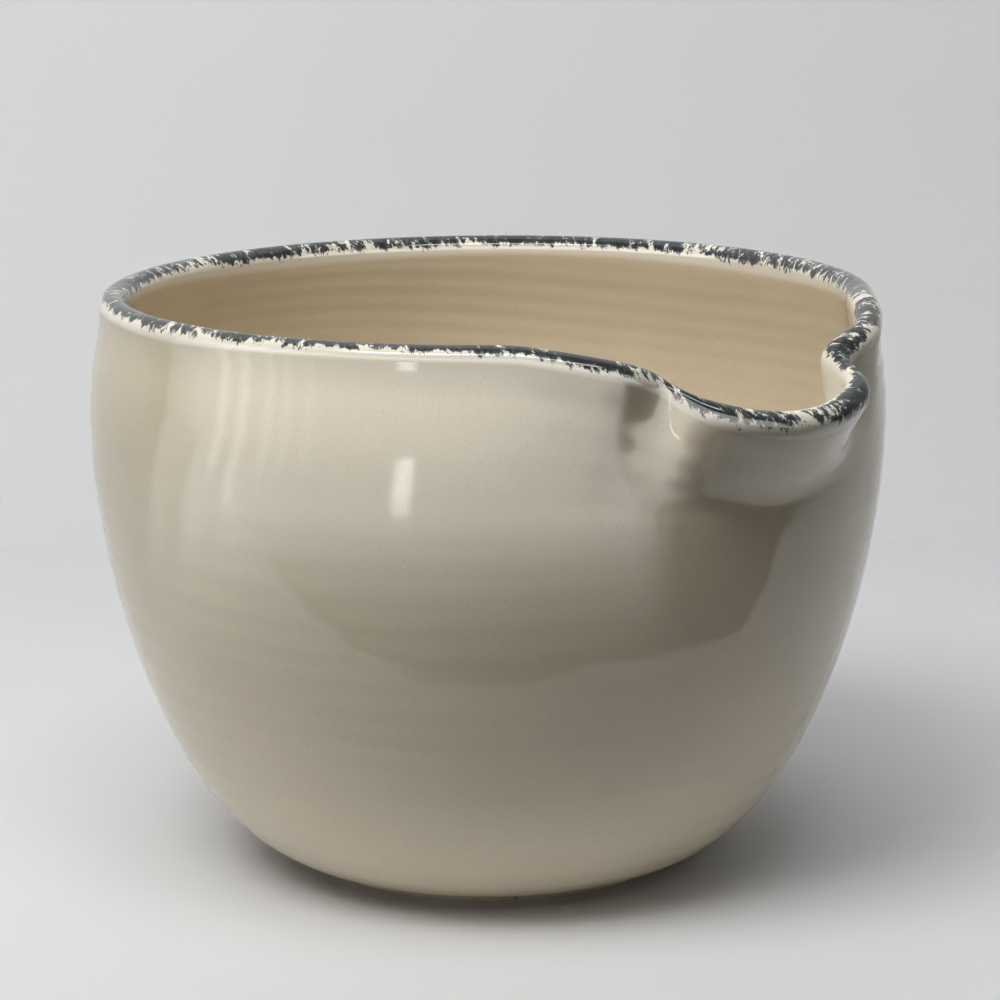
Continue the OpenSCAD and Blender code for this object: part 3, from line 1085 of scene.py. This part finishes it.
def glow_fan(name, turns, rungs, grows, fades, strength):
    """A fan of light round the bowl in flat pieces, over three turns in degrees.

    A point lies at a rung's distance times the sine of the turn to the right, and times the cosine
    towards the camera. The mark "across" is one along the middle turn and none along both sides.
    """
    share = np.linspace(-1, 1, FAN_STEPS + 1)
    turns = np.radians(np.interp(share, (-1, 0, 1), turns)).tolist()
    corners = [on_stage(reach * math.sin(turn), -reach * math.cos(turn), high)
               for turn in turns for reach, high in rungs]
    n = len(rungs)
    faces = [(a, a + 1, a + n + 1, a + n)
             for k in range(FAN_STEPS) for a in range(k * n, k * n + n - 1)]
    made = stage_mesh(name, corners, faces, glow_material(name, grows, fades, strength))
    across = made.data.attributes.new("across", "FLOAT", "POINT")
    across.data.foreach_set("value", np.repeat(1 - np.abs(share), n).astype(np.float32))
    return made


def glow_material(name, grows, fades, strength):
    """A light that grows between two distances from the middle, and fades towards a fan's sides."""
    n = Nodes(name)
    away = n.add("ShaderNodeVectorMath", {0: n.place()}, operation="LENGTH").outputs["Value"]
    level = n.times(n.remap(away, *grows, smooth=True),
                    n.remap(n.mark("across"), 0.0, fades, smooth=True))
    power = n.remap(away, *GLOW_RANGE, strength, strength * GLOW_GAIN)
    light = n.add("ShaderNodeEmission", {"Color": GLOW_COLOUR, "Strength": power}).outputs[0]
    return n.surface(level, n.add("ShaderNodeBsdfTransparent").outputs[0], light)


def mirror_cards(look):
    """Cards that the gloss sees: a dark one past an edge in the ground, bright fans and panes.

    A dark strip in front is hidden from the gloss and takes light from the belly's underside.
    """
    dark = one_sided(matt_nodes("dark_card", DARK_COLOUR, DARK_CLOUDS))
    room = sheet("dark_room", [on_stage(x, y, ROOM_LEVEL) for x, y in DARK_ROOM], dark)
    cards = [room]
    for name, (turns, rungs, grows, fades, strength) in FANS.items():
        cards.append(glow_fan(name, turns, rungs, grows, fades, getattr(look, strength)))
    for k, (turn, half, near, tall, share) in enumerate(PANES):
        rungs = [(near, PANE_LEVEL), (PANE_END, PANE_LEVEL)]
        if tall:
            rungs[1:] = [(PANE_WALL, PANE_LEVEL), (PANE_WALL, PANE_TOP)]
        cards.append(glow_fan(f"pane_{k + 1}", (turn - half, turn, turn + half), rungs,
                              (near, near * PANE_GROWS), PANE_FADES, look.pane * share))
    front = sheet("dark_front", [on_stage(x, y, FRONT_LEVEL) for x, y in DARK_FRONT], dark)
    front.visible_glossy = False
    for card in (*cards, front):
        card.visible_camera = card.visible_shadow = False
        card.visible_diffuse = card in (room, front)
        card.visible_transmission = card.visible_volume_scatter = False


def lamp(name, at, size, watts, tint):
    """A soft panel lamp that looks at the bowl and lights what is matt, unseen in the gloss."""
    data = bpy.data.lights.new(name, "AREA")
    data.shape = "RECTANGLE"
    data.size, data.size_y = size
    data.energy = watts
    data.color = tint
    made = placed(name, data)
    way = (Vector(LAMPS_AIM) - Vector(at)).normalized()
    turned = way.to_track_quat("-Z", "Y").to_matrix().to_4x4()
    made.matrix_world = Matrix.Translation(at) @ turned
    made.visible_camera = made.visible_glossy = False


def set_world(scene, look):
    """Weak light all round, and a plain grey where the camera looks past the stage."""
    world = bpy.data.worlds.new("soft_room")
    scene.world = world
    world.use_nodes = True
    tree = world.node_tree
    path = tree.nodes.new("ShaderNodeLightPath")
    pick = tree.nodes.new("ShaderNodeMix")
    pick.data_type = "RGBA"
    pick.inputs[MIX_A].default_value = (look.sky, look.sky, look.sky, 1)
    pick.inputs[MIX_B].default_value = BEYOND
    tree.links.new(path.outputs["Is Camera Ray"], pick.inputs[0])
    tree.links.new(pick.outputs[MIX_RESULT], tree.nodes["Background"].inputs["Color"])


def set_camera(scene):
    """The photograph's camera: its axes are turned a little to the side, tilted down and rolled."""
    data = bpy.data.cameras.new("view")
    data.sensor_width = SENSOR_WIDTH
    data.lens = FOCAL_PIXELS * SENSOR_WIDTH / PICTURE_WIDTH
    up = Vector((0, 0, 1))
    across = RIGHT * math.cos(VIEW_TURN) - INTO * math.sin(VIEW_TURN)
    level = RIGHT * math.sin(VIEW_TURN) + INTO * math.cos(VIEW_TURN)
    forward = level * math.cos(VIEW_DOWN) - up * math.sin(VIEW_DOWN)
    lift = level * math.sin(VIEW_DOWN) + up * math.cos(VIEW_DOWN)
    x = across * math.cos(VIEW_ROLL) + lift * math.sin(VIEW_ROLL)
    y = lift * math.cos(VIEW_ROLL) - across * math.sin(VIEW_ROLL)
    camera = placed("view", data)
    camera.matrix_world = (Matrix.Translation(on_stage(0, -VIEW_DISTANCE, VIEW_HEIGHT))
                           @ Matrix((x, y, -forward)).transposed().to_4x4())
    scene.camera = camera


class BOWL_OT_set_stage(Operator):
    """Make the floor, the backdrop, the lamps and the camera"""

    bl_idname = "bowl.set_stage"
    bl_label = "Set the stage"

    def execute(self, context):
        scene = context.scene
        look = scene.bowl_stage
        floor = matt_nodes("pale_floor", look.floor, FLOOR_CLOUDS).material
        sheet("floor", [on_stage(*corner) for corner in FLOOR_CORNERS], floor)
        back = one_sided(matt_nodes("pale_backdrop", look.backdrop, BACKDROP_CLOUDS))
        sheet("backdrop", [on_stage(*corner) for corner in BACKDROP_CORNERS], back)
        mirror_cards(look)
        for name, (at, size, tint) in LAMPS.items():
            lamp(f"{name}_light", on_stage(*at), size, getattr(look, name), tint)
        set_world(scene, look)
        set_camera(scene)
        scene.view_settings.view_transform = "Standard"
        return {"FINISHED"}


class BOWL_PT_panel(Panel):
    """Sizes, finishes and steps of the bowl"""

    bl_idname = "BOWL_PT_panel"
    bl_label = "Batter bowl"
    bl_space_type = "VIEW_3D"
    bl_region_type = "UI"
    bl_category = "Bowl"

    def draw(self, context):
        scene = context.scene
        for group in (scene.bowl_sizes, scene.spout_sizes, scene.bowl_finish, scene.bowl_stage):
            box = self.layout.box()
            for name in group.__annotations__:
                box.prop(group, name)
        for step in STEPS:
            self.layout.operator(step.bl_idname)


STEPS = (BOWL_OT_throw, BOWL_OT_glaze_outside, BOWL_OT_glaze_inside, BOWL_OT_sponge_rim,
         BOWL_OT_set_stage)
GROUPS = {"bowl_sizes": BowlSizes, "spout_sizes": SpoutSizes, "bowl_finish": BowlFinish,
          "bowl_stage": BowlStage}


def register():
    for made in (*GROUPS.values(), *STEPS, BOWL_PT_panel):
        bpy.utils.register_class(made)
    for name, group in GROUPS.items():
        setattr(bpy.types.Scene, name, PointerProperty(type=group))


def unregister():
    for name in GROUPS:
        delattr(bpy.types.Scene, name)
    for made in reversed((*GROUPS.values(), *STEPS, BOWL_PT_panel)):
        bpy.utils.unregister_class(made)


def main():
    register()
    bpy.ops.bowl.throw_body()
    bpy.ops.bowl.glaze_outside()
    bpy.ops.bowl.glaze_inside()
    bpy.ops.bowl.sponge_rim()
    bpy.ops.bowl.set_stage()


if __name__ == "__main__":
    main()
